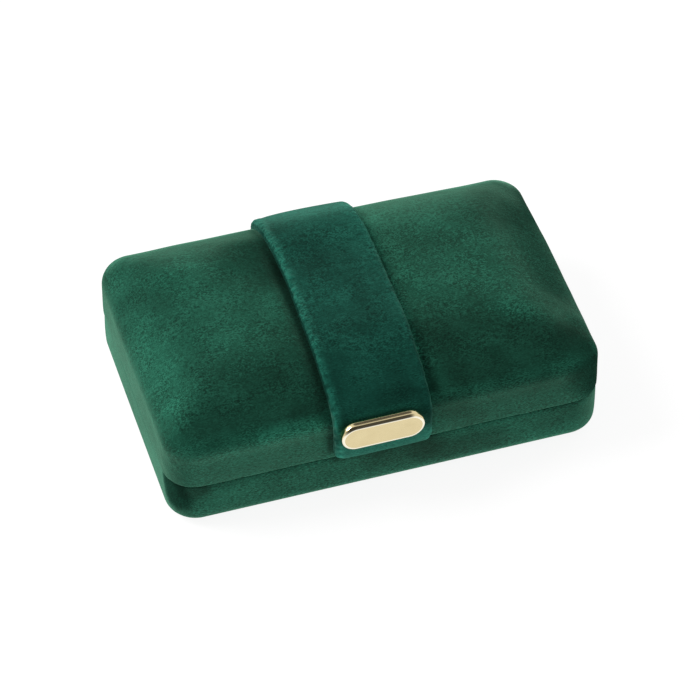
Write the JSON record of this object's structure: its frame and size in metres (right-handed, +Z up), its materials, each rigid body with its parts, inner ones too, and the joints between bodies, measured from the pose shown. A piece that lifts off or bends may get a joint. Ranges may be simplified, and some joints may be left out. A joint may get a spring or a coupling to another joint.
{
  "type": "velvet ring box",
  "caption": "Low rectangular velvet ring box with a hinged domed lid, a strap over the lid whose metal-barred tip lifts, and a bed of ring rolls inside.",
  "frame": {"origin": "middle of the flat underside, on the surface the box stands on", "axes": "+Z up, +X to the right along the width, -Y towards the front with the strap's tip and bar, hinges at +Y"},
  "size_m": [0.15, 0.1057, 0.0503],
  "materials": {
    "velvet": "short-pile emerald velvet with brushed nap",
    "lining_velvet": "short-pile green velvet lining",
    "foam": "open-cell foam",
    "moulded_shell": "moulded matte",
    "board": "grey board",
    "gold_bar": "pale gold plate, polished rim",
    "hinge_brass": "polished brass",
    "bright_steel": "nickel plate"
  },
  "bodies": {
    "base": {"base_shell": "moulded_shell", "base_cover": "velvet", "base_bottom_sheet": "velvet", "base_lining": "lining_velvet", "base_floor_board": "board", "ring_roll_1": "lining_velvet", "ring_roll_2": "lining_velvet", "ring_roll_3": "lining_velvet", "ring_roll_4": "lining_velvet", "ring_roll_5": "lining_velvet", "ring_roll_6": "lining_velvet", "ring_roll_foam_1": "foam", "ring_roll_foam_2": "foam", "ring_roll_foam_3": "foam", "ring_roll_foam_4": "foam", "ring_roll_foam_5": "foam", "ring_roll_foam_6": "foam", "base_rim_magnets": "bright_steel", "hinge_left_base_leaf": "hinge_brass", "hinge_right_base_leaf": "hinge_brass", "hinge_left_pin": "hinge_brass", "hinge_right_pin": "hinge_brass", "hinge_base_rivets": "hinge_brass"},
    "lid": {"lid_shell": "moulded_shell", "lid_padding": "foam", "lid_cover": "velvet", "lid_lining": "lining_velvet", "lid_pad": "lining_velvet", "lid_pad_foam": "foam", "lid_rim_magnets": "bright_steel", "flap_keeper": "bright_steel", "hinge_left_lid_leaf": "hinge_brass", "hinge_right_lid_leaf": "hinge_brass", "hinge_lid_rivets": "hinge_brass", "strap_core": "board", "strap_cover": "velvet"},
    "flap": {"flap_core": "board", "flap_cover": "velvet", "flap_magnet": "bright_steel", "clasp_bar": "gold_bar", "clasp_push_nuts": "bright_steel"}
  },
  "joints": [
    {"name": "lid_hinge", "type": "hinge", "parent": "base", "child": "lid", "pos_m": [0, 0.0482, 0.0186], "axis": [-1, 0, 0], "range_deg": [0, 105]},
    {"name": "strap_flap", "type": "hinge", "parent": "lid", "child": "flap", "pos_m": [-0.0033, -0.03952, 0.04245], "axis": [-1, 0, 0], "range_deg": [0, 90]}
  ]
}
